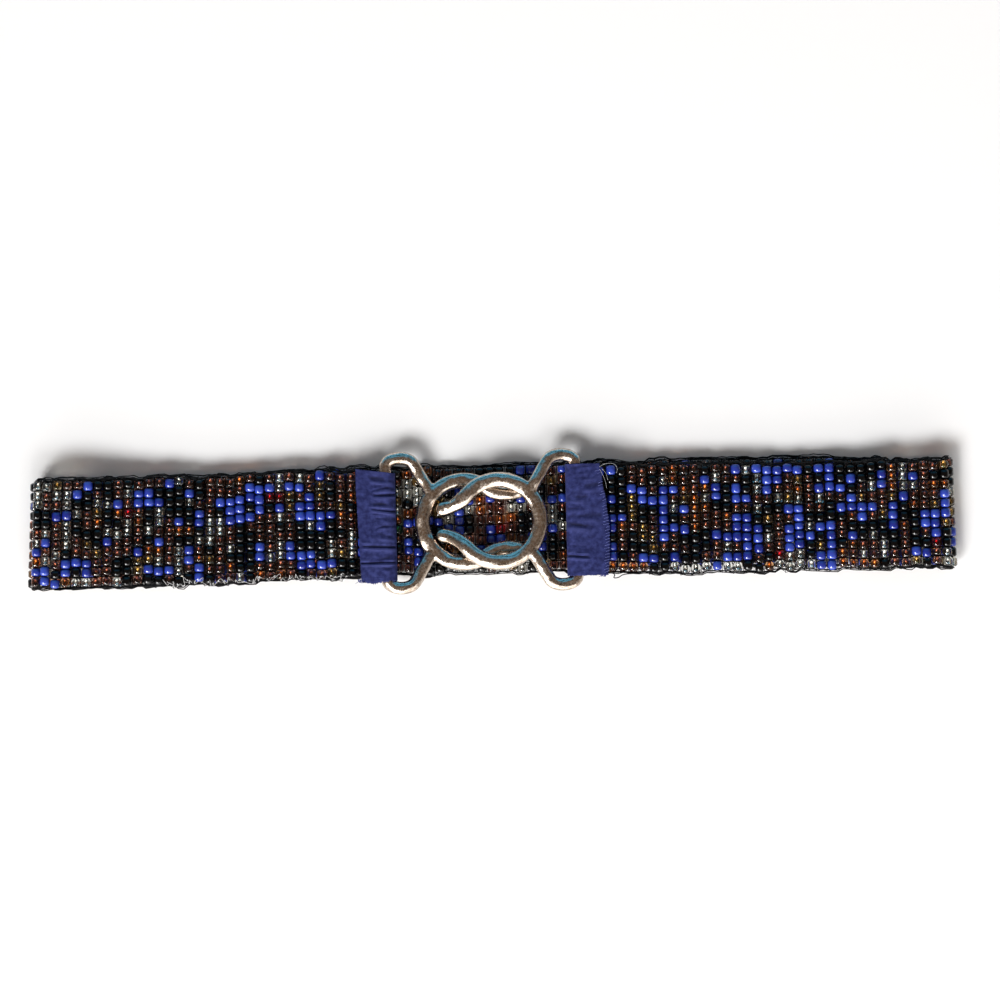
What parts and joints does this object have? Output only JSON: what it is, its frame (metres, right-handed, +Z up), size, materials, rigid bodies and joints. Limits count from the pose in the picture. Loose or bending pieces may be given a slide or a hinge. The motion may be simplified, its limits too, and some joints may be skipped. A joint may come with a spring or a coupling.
{
  "type": "beaded belt",
  "caption": "Waist belt of loom-woven glass beads, fastened in a loop by a cast interlocking clasp held in cloth tabs, and lying flattened.",
  "frame": {"origin": "on the table under the middle of the belt's outline, as it lies fastened and flattened", "axes": "+X along the belt towards the hook half's side, +Y across the belt, +Z up from the table"},
  "size_m": [0.3907, 0.06, 0.0142],
  "materials": {
    "glass_beads": "glossy glass seed beads in royal blue, black, crystal, garnet and amber, on black thread",
    "nickel_plate": "cast zinc alloy with worn, softly polished nickel plate",
    "blue_cloth": "fine plain-woven cotton, matt, with frayed edges"
  },
  "bodies": {
    "root": {"beaded_band": "glass_beads", "clasp_catch_half": "nickel_plate", "clasp_hook_half": "nickel_plate", "tab_left": "blue_cloth", "tab_right": "blue_cloth"}
  },
  "joints": []
}
